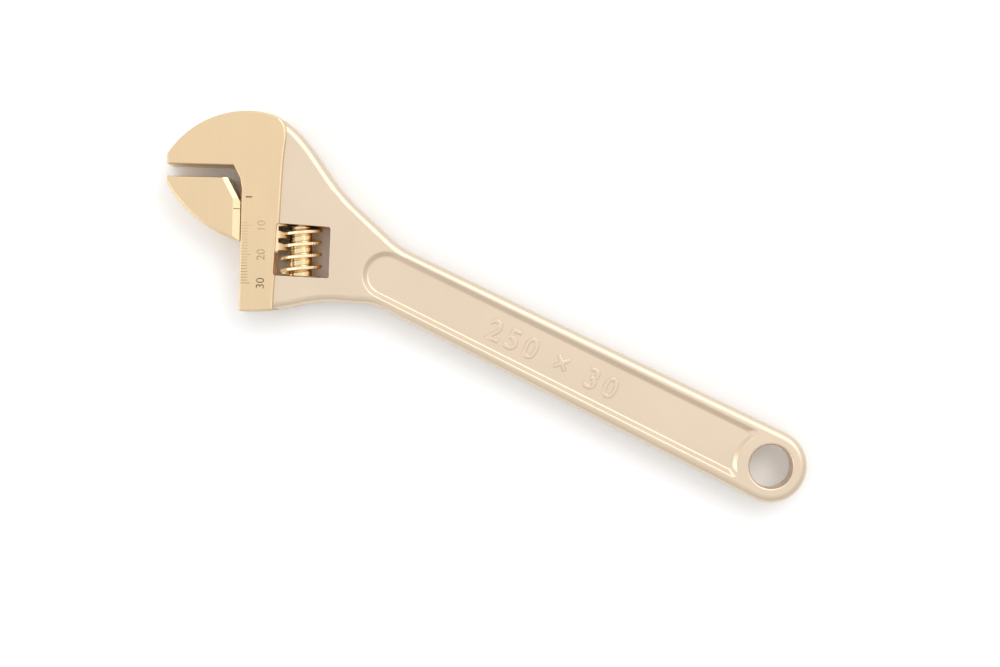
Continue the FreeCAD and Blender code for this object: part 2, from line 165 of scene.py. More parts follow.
class WrenchMarks(bpy.types.PropertyGroup):
    """The etched scale on the column and the raised size on the handle."""

    zero_from_face: length("Zero", "Distance of the scale's zero bar below the fixed face", 10.9 * MM)
    first_tick: IntProperty(name="First tick", description="Reading of the first tick", default=9, min=0)
    last_tick: IntProperty(name="Last tick", description="Reading of the last tick", default=30, min=1)
    tick_pitch: length("Tick pitch", "Distance between ticks", 1.0 * MM)
    tick_length: length("Tick length", "Length of an ordinary tick", 2.3 * MM)
    long_tick_length: length("Long tick length", "Length of each tenth tick", 3.4 * MM)
    tick_width: length("Tick width", "Width of a tick's line", 0.16 * MM)
    tick_margin: length("Tick margin", "Bare metal between the ticks and the column's edge", 0.35 * MM)
    mark_depth: length("Mark depth", "Thickness of an etched mark", 0.04 * MM)
    numeral_height: length("Numeral height", "Height of the scale's numerals", 2.9 * MM)
    numeral_inset: length("Numeral inset", "Middle of the numerals, in from the column's edge", 7.4 * MM)
    size_text: StringProperty(name="Size", description="Raised numerals on the handle", default="250 × 30")
    size_height: length("Size height", "Height of the handle's numerals", 7.6 * MM)
    size_spacing: FloatProperty(name="Size spacing", description="Spread of the handle's numerals",
                                default=1.32, min=0.5)
    size_boldness: length("Size boldness", "How much the handle's numerals are thickened", 0.2 * MM)
    size_rise: length("Size rise", "How far the handle's numerals stand up", 0.5 * MM)
    size_rounding: length("Size rounding", "Rounding of the handle's numerals", 0.2 * MM)
    size_middle: length("Size middle", "Middle of the numerals along the handle", 85.0 * MM)
    panel_floor: length("Panel floor", "Height of the handle's sunk panel above mid thickness", 3.95 * MM)


class WrenchStage(bpy.types.PropertyGroup):
    """Floor, camera and light."""

    floor: colour("Floor", "Pale paper under the wrench", (0.93, 0.93, 0.93))
    floor_size: length("Floor size", "Side of the square floor", 4.0)
    camera_along: length("Camera along", "Camera's place along the handle", 105.5 * MM)
    camera_height: length("Camera height", "Camera's height above mid thickness", 730.0 * MM)
    camera_turn: angle("Camera turn", "Turn of the handle in the view", 26.4)
    lens: FloatProperty(name="Lens", description="Focal length on a 36 mm sensor", default=74.7, min=10)
    sky_turn: angle("Sky turn", "Bright side of the sky, about the vertical", -63.6)
    horizon: FloatProperty(name="Horizon", description="Brightness of the sky at its foot", default=0.87,
                           min=0)
    zenith: FloatProperty(name="Zenith", description="Brightness of the sky straight up", default=1.06,
                          min=0)
    sky_slope: FloatProperty(name="Sky slope", description="How much brighter the sky is on its bright side",
                             default=0.19, min=0)
    key_turn: angle("Key turn", "Direction of the large softbox, about the vertical", -102.0)
    key_height: angle("Key height", "Height of the large softbox above the floor", 52.0)
    key_power: FloatProperty(name="Key light", description="Power of the large softbox", default=7.8,
                             subtype="POWER")
    fill_turn: angle("Fill turn", "Direction of the low softbox, about the vertical", 42.0)
    fill_height: angle("Fill height", "Height of the low softbox above the floor", 20.0)
    fill_power: FloatProperty(name="Fill light", description="Power of the low softbox", default=4.5,
                              subtype="POWER")


# ---------------------------------------------------------------- small helpers for node trees


def add(tree, kind, inputs=None, **options):
    """A node with its options set. Each input is given a plain value, or the output that feeds it."""
    node = tree.nodes.new(kind)
    for name, value in options.items():
        setattr(node, name, value)
    for key, value in (inputs or {}).items():
        if isinstance(value, bpy.types.NodeSocket):
            tree.links.new(value, node.inputs[key])
        else:
            node.inputs[key].default_value = value
    return node


def math_node(tree, operation, first, second=0.0):
    return add(tree, "ShaderNodeMath", {0: first, 1: second}, operation=operation).outputs[0]


def ramp(tree, value, low, high, to_low=0.0, to_high=1.0):
    """Value brought from the span low to high into the span to_low to to_high, with soft ends."""
    sockets = {"Value": value, "From Min": low, "From Max": high, "To Min": to_low, "To Max": to_high}
    return add(tree, "ShaderNodeMapRange", sockets, interpolation_type="SMOOTHSTEP").outputs["Result"]


def mix_colour(tree, factor, first, second):
    node = add(tree, "ShaderNodeMix", data_type="RGBA")
    for socket, value in zip((node.inputs[0], node.inputs[6], node.inputs[7]), (factor, first, second)):
        if isinstance(value, bpy.types.NodeSocket):
            tree.links.new(value, socket)
        else:
            socket.default_value = value
    return node.outputs[2]


def rgba(value, shade=1.0):
    return (value[0] * shade, value[1] * shade, value[2] * shade, 1.0)


def new_group(name, inputs, outputs):
    """A shader node group, its input node and a function that feeds its outputs."""
    tree = bpy.data.node_groups.new(name, "ShaderNodeTree")
    for label, kind in inputs.items():
        tree.interface.new_socket(label, in_out="INPUT", socket_type=kind)
    for label, kind in outputs.items():
        tree.interface.new_socket(label, in_out="OUTPUT", socket_type=kind)
    return tree, tree.nodes.new("NodeGroupInput").outputs, tree.nodes.new("NodeGroupOutput").inputs


def place_group(tree, group, inputs):
    """A group placed in a tree, with its own values."""
    node = tree.nodes.new("ShaderNodeGroup")
    node.node_tree = group
    for key, value in inputs.items():
        if isinstance(value, bpy.types.NodeSocket):
            tree.links.new(value, node.inputs[key])
        else:
            node.inputs[key].default_value = value
    return node.outputs


# ---------------------------------------------------------------- effects shared by the metals

VECTOR, FLOAT = "NodeSocketVector", "NodeSocketFloat"


def blasted_grain_group():
    """The fine even grain that blasting leaves, and the slow drift in tone under it."""
    tree, given, result = new_group("Blasted grain", {"Vector": VECTOR, "Grain": FLOAT},
                                    {"Height": FLOAT, "Pits": FLOAT, "Drift": FLOAT})
    per_metre = math_node(tree, "DIVIDE", 1.0, given["Grain"])
    fine = add(tree, "ShaderNodeTexNoise", {"Vector": given["Vector"], "Scale": per_metre, "Detail": 3.0,
                                            "Roughness": 0.62})
    coarse_scale = math_node(tree, "MULTIPLY", per_metre, 0.22)
    coarse = add(tree, "ShaderNodeTexNoise", {"Vector": given["Vector"], "Scale": coarse_scale,
                                              "Detail": 2.0})
    pits = add(tree, "ShaderNodeTexVoronoi", {"Vector": given["Vector"], "Scale": coarse_scale})
    drift = add(tree, "ShaderNodeTexNoise", {"Vector": given["Vector"], "Scale": 38.0, "Detail": 2.0})
    swell = math_node(tree, "MULTIPLY", coarse.outputs["Fac"], 0.8)
    tree.links.new(math_node(tree, "ADD", fine.outputs["Fac"], swell), result["Height"])
    tree.links.new(ramp(tree, pits.outputs["Distance"], 0.05, 0.2), result["Pits"])
    tree.links.new(ramp(tree, drift.outputs["Fac"], 0.32, 0.68), result["Drift"])
    return tree


def grinding_lines_group():
    """Straight lines along y, as a belt or a stone leaves them: fine ones, and a few deeper scratches."""
    tree, given, result = new_group("Grinding lines", {"Vector": VECTOR, "Spacing": FLOAT, "Stretch": FLOAT},
                                    {"Height": FLOAT, "Tone": FLOAT, "Scratch": FLOAT})
    across = math_node(tree, "DIVIDE", 1.0, given["Spacing"])
    along = math_node(tree, "DIVIDE", across, given["Stretch"])
    scale = add(tree, "ShaderNodeCombineXYZ", {"X": across, "Y": along, "Z": across})
    drawn = add(tree, "ShaderNodeVectorMath", {0: given["Vector"], 1: scale.outputs[0]},
                operation="MULTIPLY")
    fine = add(tree, "ShaderNodeTexNoise", {"Vector": drawn.outputs[0], "Scale": 1.0, "Detail": 4.0,
                                            "Roughness": 0.7})
    broad = add(tree, "ShaderNodeTexNoise", {"Vector": drawn.outputs[0], "Scale": 0.14, "Detail": 2.0})
    deep = add(tree, "ShaderNodeTexNoise", {"Vector": drawn.outputs[0], "Scale": 0.4, "Detail": 1.0})
    tree.links.new(fine.outputs["Fac"], result["Height"])
    tree.links.new(ramp(tree, broad.outputs["Fac"], 0.3, 0.7), result["Tone"])
    tree.links.new(ramp(tree, deep.outputs["Fac"], 0.7, 0.76), result["Scratch"])
    return tree


def worn_edge_group():
    """Where an edge has been rubbed, and where a painted highlight runs along every edge: one at the edge itself,
    fading to nothing within the radius.
    """
    tree, given, result = new_group("Worn edge and highlight", {"Vector": VECTOR, "Radius": FLOAT},
                                    {"Mask": FLOAT, "Soft Normal": VECTOR})
    softened = add(tree, "ShaderNodeBevel", {"Radius": given["Radius"]}, samples=6)
    surface = add(tree, "ShaderNodeNewGeometry")
    facing = add(tree, "ShaderNodeVectorMath", {0: softened.outputs[0], 1: surface.outputs["Normal"]},
                 operation="DOT_PRODUCT")
    bent = ramp(tree, facing.outputs["Value"], 0.995, 0.86)
    patches = add(tree, "ShaderNodeTexNoise", {"Vector": given["Vector"], "Scale": 420.0, "Detail": 2.0})
    broken = ramp(tree, patches.outputs["Fac"], 0.3, 0.6, 0.55, 1.0)
    tree.links.new(math_node(tree, "MULTIPLY", bent, broken), result["Mask"])
    tree.links.new(softened.outputs[0], result["Soft Normal"])
    return tree


def handling_group():
    """Faint smears where hands have been, for the roughness."""
    tree, given, result = new_group("Handling", {"Vector": VECTOR}, {"Smear": FLOAT})
    smear = add(tree, "ShaderNodeTexNoise", {"Vector": given["Vector"], "Scale": 85.0, "Detail": 4.0,
                                             "Distortion": 0.8})
    tree.links.new(ramp(tree, smear.outputs["Fac"], 0.35, 0.7), result["Smear"])
    return tree


GROUP_MAKERS = {
    "Blasted grain": blasted_grain_group,
    "Grinding lines": grinding_lines_group,
    "Worn edge and highlight": worn_edge_group,
    "Handling": handling_group,
}


def effect(name):
    """A shared effect's group, built the first time that it is asked for."""
    return bpy.data.node_groups.get(name) or GROUP_MAKERS[name]()


# ---------------------------------------------------------------- finishes


def new_metal(name):
    """An empty metal: its tree, its Principled shader and its Object coordinates."""
    material = bpy.data.materials.new(name)
    material.use_nodes = True
    tree = material.node_tree
    shader = tree.nodes["Principled BSDF"]
    shader.inputs["Metallic"].default_value = 1.0
    place = add(tree, "ShaderNodeTexCoord").outputs["Object"]
    return material, tree, shader, place


def in_head(tree, place):
    """Object coordinates brought into the head's own axes."""
    sockets = {"Vector": place, "Location": HEAD_AT, "Rotation": (0, 0, HEAD_TURN)}
    return add(tree, "ShaderNodeMapping", sockets, vector_type="TEXTURE").outputs[0]


def connect(tree, shader, base, roughness, height, distance, edge_wear_and_highlight):
    """Feeds the shader. The surface's normal is eased at its edges before its grain or lines are added."""
    tree.links.new(base, shader.inputs["Base Color"])
    tree.links.new(roughness, shader.inputs["Roughness"])
    bump = add(tree, "ShaderNodeBump", {"Height": height, "Distance": distance, "Strength": 1.0,
                                        "Normal": edge_wear_and_highlight["Soft Normal"]})
    tree.links.new(bump.outputs[0], shader.inputs["Normal"])


def worn_edges(tree, place, settings):
    return place_group(tree, effect("Worn edge and highlight"), {"Vector": place, "Radius": settings.wear_radius})


def forged_surface(tree, place, settings, edge_wear_and_highlight):
    """Colour, roughness and height of the blasted forging, with a painted highlight along its edges."""
    grain = place_group(tree, effect("Blasted grain"), {"Vector": place, "Grain": settings.grain})
    smear = place_group(tree, effect("Handling"), {"Vector": place})
    base = mix_colour(tree, grain["Drift"], rgba(settings.forged, 0.975), rgba(settings.forged))
    pitted = math_node(tree, "MULTIPLY", grain["Pits"], 0.05)
    base = mix_colour(tree, pitted, base, rgba(settings.forged, 0.7))
    # Painted highlight, partly rubbed wear: the metal's colour is lightened along every edge
    bright = math_node(tree, "MULTIPLY", edge_wear_and_highlight["Mask"], 0.6)
    base = mix_colour(tree, bright, base, rgba(settings.forged, 1.07))
    roughness = math_node(tree, "MULTIPLY_ADD", grain["Height"], 0.05)
    roughness.node.inputs[2].default_value = 0.33
    rubbed = math_node(tree, "MULTIPLY", edge_wear_and_highlight["Mask"], -0.08)
    hazed = math_node(tree, "MULTIPLY", smear["Smear"], 0.035)
    roughness = math_node(tree, "ADD", math_node(tree, "ADD", roughness, rubbed), hazed)
    return base, roughness, grain["Height"]


def ground_surface(tree, place, settings, edge_wear_and_highlight):
    """Colour, roughness and height of a finely ground face, with a painted highlight along its edges. Place is in
    the head's own axes.
    """
    sockets = {"Vector": place, "Spacing": settings.line_spacing, "Stretch": 60.0}
    lines = place_group(tree, effect("Grinding lines"), sockets)
    smear = place_group(tree, effect("Handling"), {"Vector": place})
    base = mix_colour(tree, lines["Tone"], rgba(settings.ground, 0.988), rgba(settings.ground))
    scratched = math_node(tree, "MULTIPLY", lines["Scratch"], 0.05)
    base = mix_colour(tree, scratched, base, rgba(settings.ground, 0.75))
    # Painted highlight, partly rubbed wear: the metal's colour is lightened along every edge
    bright = math_node(tree, "MULTIPLY", edge_wear_and_highlight["Mask"], 0.7)
    base = mix_colour(tree, bright, base, rgba(settings.ground, 1.12))
    roughness = math_node(tree, "MULTIPLY_ADD", lines["Tone"], 0.02)
    roughness.node.inputs[2].default_value = 0.3
    hazed = math_node(tree, "MULTIPLY", smear["Smear"], 0.04)
    height = math_node(tree, "SUBTRACT", lines["Height"], lines["Scratch"])
    return base, math_node(tree, "ADD", roughness, hazed), height


def ground_mask(tree, head_place):
    """One on the body's ground faces: the head's two flats, the gripping face and the column's front."""
    axes = add(tree, "ShaderNodeSeparateXYZ", {"Vector": head_place}).outputs
    flats = ramp(tree, math_node(tree, "ABSOLUTE", axes["Z"]), HEAD_TOP - 0.65 * MM, HEAD_TOP - 0.25 * MM)
    past_front = math_node(tree, "GREATER_THAN", axes["X"], -0.2 * MM)
    below_face = math_node(tree, "GREATER_THAN", axes["Y"], -0.2 * MM)
    front = math_node(tree, "MULTIPLY", past_front, below_face)
    return math_node(tree, "MAXIMUM", flats, front)


def window_mask(tree, head_place):
    """Where the painted shade goes: one on the walls inside the worm's window and in the tooth bar's bore below
    it.
    """
    axes = add(tree, "ShaderNodeSeparateXYZ", {"Vector": head_place}).outputs
    from_middle = math_node(tree, "ABSOLUTE", axes["Z"])
    start, full = WINDOW_SHADE_DEPTHS
    away = ramp(tree, from_middle, HEAD_TOP - full, HEAD_TOP - start, 1.0, 0.0)
    for name, (low, high) in (("X", WINDOW_OUT), ("Y", WINDOW_ALONG)):
        past = math_node(tree, "GREATER_THAN", axes[name], low)
        short = math_node(tree, "LESS_THAN", axes[name], high)
        away = math_node(tree, "MULTIPLY", away, math_node(tree, "MULTIPLY", past, short))
    return away


def body_finish(settings):
    """Blasted forging, with its head ground on both flats and between the jaws, and painted shade with bounced
    golden light inside the worm's window.
    """
    material, tree, shader, place = new_metal("Forged and ground body")
    head_place = in_head(tree, place)
    edge_wear_and_highlight = worn_edges(tree, place, settings)
    forged = forged_surface(tree, place, settings, edge_wear_and_highlight)
    ground = ground_surface(tree, head_place, settings, edge_wear_and_highlight)
    mask = ground_mask(tree, head_place)
    base = mix_colour(tree, mask, forged[0], ground[0])
    # Painted shade: the window's and the bore's walls take a deep orange for the shade and golden bounce light
    # inside them
    base = mix_colour(tree, window_mask(tree, head_place), base, rgba(settings.inner))
    roughness = add(tree, "ShaderNodeMix", {0: mask, 2: forged[1], 3: ground[1]}).outputs[0]
    height = add(tree, "ShaderNodeMix", {0: mask, 2: forged[2], 3: ground[2]}).outputs[0]
    connect(tree, shader, base, roughness, height, FORGED_BUMP, edge_wear_and_highlight)
    return material


def jaw_finish(settings):
    """Ground all over."""
    material, tree, shader, place = new_metal("Ground jaw")
    edge_wear_and_highlight = worn_edges(tree, place, settings)
    base, roughness, height = ground_surface(tree, in_head(tree, place), settings, edge_wear_and_highlight)
    connect(tree, shader, base, roughness, height, GROUND_BUMP, edge_wear_and_highlight)
    return material


def about_worm(tree, place):
    """Object coordinates about the worm: z lies along it."""
    turned = Matrix.Rotation(HEAD_TURN, 3, "Z") @ Matrix.Rotation(-math.pi / 2, 3, "X")
    sockets = {"Vector": place, "Location": WORM_AT, "Rotation": turned.to_euler()}
    return add(tree, "ShaderNodeMapping", sockets, vector_type="TEXTURE").outputs[0]


def worm_finish(settings, crest_radius):
    """Polished thread, turned in its grooves and finely knurled on its crest, with painted shade darkening the
    grooves towards the core.
    """
    material, tree, shader, place = new_metal("Polished worm")
    axes = add(tree, "ShaderNodeSeparateXYZ", {"Vector": about_worm(tree, place)}).outputs
    squares = [math_node(tree, "POWER", axes[name], 2.0) for name in ("X", "Y")]
    radius = math_node(tree, "SQRT", math_node(tree, "ADD", *squares))
    around = math_node(tree, "ARCTAN2", axes["Y"], axes["X"])
    crest = ramp(tree, radius, crest_radius - 0.25 * MM, crest_radius - 0.1 * MM)
    teeth = math_node(tree, "SINE", math_node(tree, "MULTIPLY", around, float(settings.knurl_teeth)))
    teeth = math_node(tree, "MULTIPLY", ramp(tree, teeth, -1.0, 1.0), crest)

    arc = math_node(tree, "MULTIPLY", around, crest_radius)
    round_worm = add(tree, "ShaderNodeCombineXYZ", {"X": radius, "Y": arc, "Z": axes["Z"]}).outputs[0]
    sockets = {"Vector": round_worm, "Spacing": settings.line_spacing, "Stretch": 60.0}
    lines = place_group(tree, effect("Grinding lines"), sockets)
    smear = place_group(tree, effect("Handling"), {"Vector": place})
    base = mix_colour(tree, lines["Tone"], rgba(settings.polished, 0.95), rgba(settings.polished))
    # Painted shade: the grooves darken towards the core, where the thread's flanks shade them
    groove = ramp(tree, radius, crest_radius - 2.6 * MM, crest_radius - 0.6 * MM, 1.0, 0.0)
    base = mix_colour(tree, math_node(tree, "MULTIPLY", groove, 0.35), base, rgba(settings.polished, 0.62))
    roughness = math_node(tree, "MULTIPLY_ADD", smear["Smear"], 0.06)
    roughness.node.inputs[2].default_value = 0.14
    height = math_node(tree, "MULTIPLY_ADD", teeth, 3.0)
    tree.links.new(math_node(tree, "MULTIPLY", lines["Height"], 0.2), height.node.inputs[2])
    connect(tree, shader, base, roughness, height, WORM_BUMP, worn_edges(tree, place, settings))
    return material


def turned_finish(name, base_colour, settings, roughness_value):
    """A small turned or drawn piece, with fine lines round it."""
    material, tree, shader, place = new_metal(name)
    sockets = {"Vector": about_worm(tree, place), "Spacing": settings.line_spacing, "Stretch": 0.1}
    lines = place_group(tree, effect("Grinding lines"), sockets)
    base = mix_colour(tree, lines["Tone"], rgba(base_colour, 0.9), rgba(base_colour))
    roughness = math_node(tree, "MULTIPLY_ADD", lines["Tone"], 0.08)
    roughness.node.inputs[2].default_value = roughness_value
    edge_wear_and_highlight = worn_edges(tree, place, settings)
    connect(tree, shader, base, roughness, lines["Height"], TURNED_BUMP, edge_wear_and_highlight)
    return material


def etched_finish(name, settings, faint_at, full_at):
    """Etched metal, darker towards the column's foot: the marks are rubbed faint between the two places."""
    material, tree, shader, place = new_metal(name)
    head_place = in_head(tree, place)
    axes = add(tree, "ShaderNodeSeparateXYZ", {"Vector": head_place}).outputs
    worn = add(tree, "ShaderNodeTexNoise", {"Vector": place, "Scale": 900.0, "Detail": 2.0}).outputs["Fac"]
    kept = ramp(tree, axes["Y"], faint_at, full_at, 0.26, 0.95)
    strength = math_node(tree, "MULTIPLY", kept, ramp(tree, worn, 0.25, 0.6, 0.72, 1.0))
    edge_wear_and_highlight = worn_edges(tree, place, settings)
    ground = ground_surface(tree, head_place, settings, edge_wear_and_highlight)
    base = mix_colour(tree, strength, ground[0], rgba(settings.etched))
    roughness = ramp(tree, strength, 0.0, 1.0, 0.3, 0.55)
    connect(tree, shader, base, roughness, worn, ETCHED_BUMP, edge_wear_and_highlight)
    return material


def raised_finish(settings):
    """The same blasted metal as the handle, for what stands up from it."""
    material, tree, shader, place = new_metal("Blasted numerals")
    edge_wear_and_highlight = worn_edges(tree, place, settings)
    base, roughness, height = forged_surface(tree, place, settings, edge_wear_and_highlight)
    connect(tree, shader, base, roughness, height, FORGED_BUMP, edge_wear_and_highlight)
    return material


def paper_finish(settings):
    """Matt pale paper with a faint tooth."""
    material = bpy.data.materials.new("Pale paper")
    material.use_nodes = True
    tree = material.node_tree
    shader = tree.nodes["Principled BSDF"]
    shader.inputs["Roughness"].default_value = 0.85
    place = add(tree, "ShaderNodeTexCoord").outputs["Object"]
    tooth = add(tree, "ShaderNodeTexNoise", {"Vector": place, "Scale": 900.0, "Detail": 3.0}).outputs["Fac"]
    base = mix_colour(tree, tooth, rgba(settings.floor, 0.99), rgba(settings.floor))
    tree.links.new(base, shader.inputs["Base Color"])
    return material


# ---------------------------------------------------------------- making pieces


def wear_finish(node_name, material):
    """A CAD piece takes its finish in place of the plain one it came with."""
    piece = frame["nodes"][node_name]
    piece.data.materials.clear()
    piece.data.materials.append(material)
    return piece


def settle(name, source, matrix, body):
    """The evaluated source as a plain mesh in its place in the row frame, riding on a body."""
    bpy.context.view_layer.update()
    depsgraph = bpy.context.evaluated_depsgraph_get()
    mesh = bpy.data.meshes.new_from_object(source.evaluated_get(depsgraph))
    bpy.data.objects.remove(source)
    mesh.name = name
    mesh.transform(matrix)
    piece = bpy.data.objects.new(name, mesh)
    bpy.context.scene.collection.objects.link(piece)
    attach(piece, body)
    return piece


def numerals(text, height, thickness, rounding, material, spacing=1.0, boldness=0.0):
    """Upright numerals about their own middle, standing from below the surface to the thickness above it."""
    curve = bpy.data.curves.new("numerals", "FONT")
    curve.body = text
    curve.align_x = "CENTER"
    curve.align_y = "CENTER"
    curve.space_character = spacing
    capital_share = 0.72
    curve.size = height / capital_share
    curve.extrude = thickness - rounding
    curve.bevel_depth = rounding
    curve.bevel_resolution = 2
    curve.offset = boldness - rounding
    curve.materials.append(material)
    source = bpy.data.objects.new("numerals", curve)
    bpy.context.scene.collection.objects.link(source)
    return source


def tick_tree(material):
    """A row of bars along y: each tenth reading, counted from the first, is long."""
    tree = bpy.data.node_groups.new("Scale ticks", "GeometryNodeTree")
    integers = ("First", "Last")
    lengths = ("Pitch", "Length", "Long Length", "Width", "Thickness")
    for label in integers:
        tree.interface.new_socket(label, in_out="INPUT", socket_type="NodeSocketInt")
    for label in lengths:
        tree.interface.new_socket(label, in_out="INPUT", socket_type="NodeSocketFloat")
    tree.interface.new_socket("Geometry", in_out="OUTPUT", socket_type="NodeSocketGeometry")
    given = tree.nodes.new("NodeGroupInput").outputs
    result = tree.nodes.new("NodeGroupOutput").inputs

    span = math_node(tree, "SUBTRACT", given["Last"], given["First"])
    count = math_node(tree, "ADD", span, 1.0)
    start_at = math_node(tree, "MULTIPLY", given["First"], given["Pitch"])
    start = add(tree, "ShaderNodeCombineXYZ", {"Y": start_at})
    step = add(tree, "ShaderNodeCombineXYZ", {"Y": given["Pitch"]})
    places = add(tree, "GeometryNodeMeshLine", {"Count": count, "Start Location": start.outputs[0],
                                                "Offset": step.outputs[0]})
    reading = math_node(tree, "ADD", add(tree, "GeometryNodeInputIndex").outputs[0], given["First"])
    remainder = math_node(tree, "MODULO", reading, 10.0)
    is_long = math_node(tree, "LESS_THAN", remainder, 0.5)
    extra = math_node(tree, "SUBTRACT", given["Long Length"], given["Length"])
    bar_length = math_node(tree, "MULTIPLY_ADD", is_long, extra)
    tree.links.new(given["Length"], bar_length.node.inputs[2])
    bar_size = add(tree, "ShaderNodeCombineXYZ", {"X": bar_length, "Y": given["Width"],
                                                  "Z": given["Thickness"]})

    bar = add(tree, "GeometryNodeMeshCube", {"Size": (1.0, 1.0, 1.0)})
    inward = add(tree, "GeometryNodeTransform", {"Geometry": bar.outputs["Mesh"],
                                                 "Translation": (-0.5, 0, 0)})
    bars = add(tree, "GeometryNodeInstanceOnPoints", {"Points": places.outputs["Mesh"],
                                                      "Instance": inward.outputs[0],
                                                      "Scale": bar_size.outputs[0]})
    solid = add(tree, "GeometryNodeRealizeInstances", {"Geometry": bars.outputs[0]})
    finished = add(tree, "GeometryNodeSetMaterial", {"Geometry": solid.outputs[0], "Material": material})
    tree.links.new(finished.outputs[0], result["Geometry"])
    return tree


def grown(name, tree, values):
    """An object that a geometry tree grows from these values."""
    source = bpy.data.objects.new(name, bpy.data.meshes.new(name))
    modifier = source.modifiers.new(name, "NODES")
    modifier.node_group = tree
    for item in tree.interface.items_tree:
        if item.in_out == "INPUT" and item.name in values:
            modifier[item.identifier] = values[item.name]
    bpy.context.scene.collection.objects.link(source)
    return source


def plate(name, size, material):
    """A thin bar about its own middle."""
    mesh = bpy.data.meshes.new(name)
    corners = [Vector((x, y, z)) for x in (-0.5, 0.5) for y in (-0.5, 0.5) for z in (-0.5, 0.5)]
    faces = [(0, 1, 3, 2), (4, 6, 7, 5), (0, 4, 5, 1), (2, 3, 7, 6), (0, 2, 6, 4), (1, 5, 7, 3)]
    mesh.from_pydata([corner * Vector(size) for corner in corners], [], faces)
    mesh.materials.append(material)
    source = bpy.data.objects.new(name, mesh)
    bpy.context.scene.collection.objects.link(source)
    return source


def thread_radius(offset, shape, crest_radius):
    """The worm's radius at a distance from the middle of its crest: flat, then an easy curve to the core."""
    start, end = shape.crest_width / 2, shape.foot_width / 2
    down = min(max((abs(offset) - start) / (end - start), 0.0), 1.0)
    return shape.core_radius + (crest_radius - shape.core_radius) * (1 + math.cos(math.pi * down)) / 2


def worm_mesh(shape, crest_radius, low, high, pitch, crest_at):
    """The worm about its own axis, which is z, from low to high: a helical skin cut off square at both ends,
    with a bore and a spring pocket. Its crest passes the y axis at crest_at."""
    worm = bmesh.new()
    around, across = shape.steps_round, shape.steps_across
    turns_before = math.ceil((crest_at - low) / pitch) + 1
    turns = turns_before + math.ceil((high - crest_at) / pitch) + 1
    rows = []
    for i in range(around * turns + 1):
        angle = math.tau * i / around
        row = []
        for j in range(across):
            offset = pitch * (j / across - 0.5)
            along = crest_at + offset + pitch * (i / around - turns_before)
            inside = max(min(along - low, high - along), 0.0)
            radius = min(thread_radius(offset, shape, crest_radius), crest_radius - shape.chamfer + inside)
            row.append(worm.verts.new((-radius * math.sin(angle), radius * math.cos(angle), along)))
        rows.append(row)
    for i in range(around * turns):
        for j in range(across):
            if j + 1 < across:
                worm.faces.new((rows[i][j], rows[i + 1][j], rows[i + 1][j + 1], rows[i][j + 1]))
            elif i + 1 + around < len(rows):
                worm.faces.new((rows[i][j], rows[i + 1][j], rows[i + 1 + around][0], rows[i + around][0]))

    ends = []
    for level, way in ((low, -1), (high, 1)):
        everything = worm.verts[:] + worm.edges[:] + worm.faces[:]
        cut = bmesh.ops.bisect_plane(worm, geom=everything, plane_co=(0, 0, level), plane_no=(0, 0, way),
                                     clear_outer=True)["geom_cut"]
        ends.append([item for item in cut if isinstance(item, bmesh.types.BMEdge)])

    floor = high - shape.pocket_depth
    rings = []
    for radius, level in ((shape.bore_radius, low), (shape.bore_radius, floor), (shape.pocket_radius, floor),
                          (shape.pocket_radius, high)):
        turned = [math.tau * i / around for i in range(around)]
        rings.append([worm.verts.new((radius * math.cos(a), radius * math.sin(a), level)) for a in turned])
    for near, far in zip(rings, rings[1:]):
        for i in range(around):
            worm.faces.new((near[i - 1], near[i], far[i], far[i - 1]))
    for edges, ring in zip(ends, (rings[0], rings[-1])):
        mouth = [worm.edges.get((ring[i - 1], ring[i])) for i in range(around)]
        bmesh.ops.triangle_fill(worm, use_beauty=True, edges=edges + mouth)
    bmesh.ops.remove_doubles(worm, verts=worm.verts, dist=1e-7)
    bmesh.ops.recalc_face_normals(worm, faces=worm.faces)
    mesh = bpy.data.meshes.new("worm_thread")
    worm.to_mesh(mesh)
    worm.free()
    mesh.shade_smooth()
    mesh.set_sharp_from_angle(angle=math.radians(38))
    return mesh


# ---------------------------------------------------------------- operators


class WRENCH_OT_body(bpy.types.Operator):
    """Blasted and ground finish of the forged body"""

    bl_idname = "wrench.body"
    bl_label = "Body finish"

    def execute(self, context):
        wear_finish("body", body_finish(context.scene.wrench_finish))
        return {"FINISHED"}


class WRENCH_OT_jaw(bpy.types.Operator):
    """Ground finish of the movable jaw"""

    bl_idname = "wrench.jaw"
    bl_label = "Jaw finish"

    def execute(self, context):
        wear_finish("movable_jaw", jaw_finish(context.scene.wrench_finish))
        return {"FINISHED"}


class WRENCH_OT_worm(bpy.types.Operator):
    """Polished worm with a rounded, knurled thread"""

    bl_idname = "wrench.worm"
    bl_label = "Worm"

    def execute(self, context):
        worm = frame["nodes"]["worm"].data.vertices
        levels = [(vertex.co - HEAD_AT).dot(SLIDE) for vertex in worm]
        crest_radius = max(vertex.co.z for vertex in worm)
        highest = max(worm, key=lambda vertex: vertex.co.z)
        pitch = math.tau / frame["record"]["behaviour"]["couplings"][0]["ratio"]
        crest_at = (highest.co - HEAD_AT).dot(SLIDE)
        mesh = worm_mesh(context.scene.wrench_worm, crest_radius, min(levels), max(levels), pitch, crest_at)
        mesh.materials.append(worm_finish(context.scene.wrench_finish, crest_radius))
        axis_at = Matrix.Translation(HEAD_AT - OUTWARD * COLUMN_FROM_WORM)
        mesh.transform(axis_at @ Matrix.Rotation(HEAD_TURN, 4, "Z") @ Matrix.Rotation(-math.pi / 2, 4, "X"))
        piece = bpy.data.objects.new("worm_thread", mesh)
        context.scene.collection.objects.link(piece)
        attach(piece, "knurl")
        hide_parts("worm")
        return {"FINISHED"}


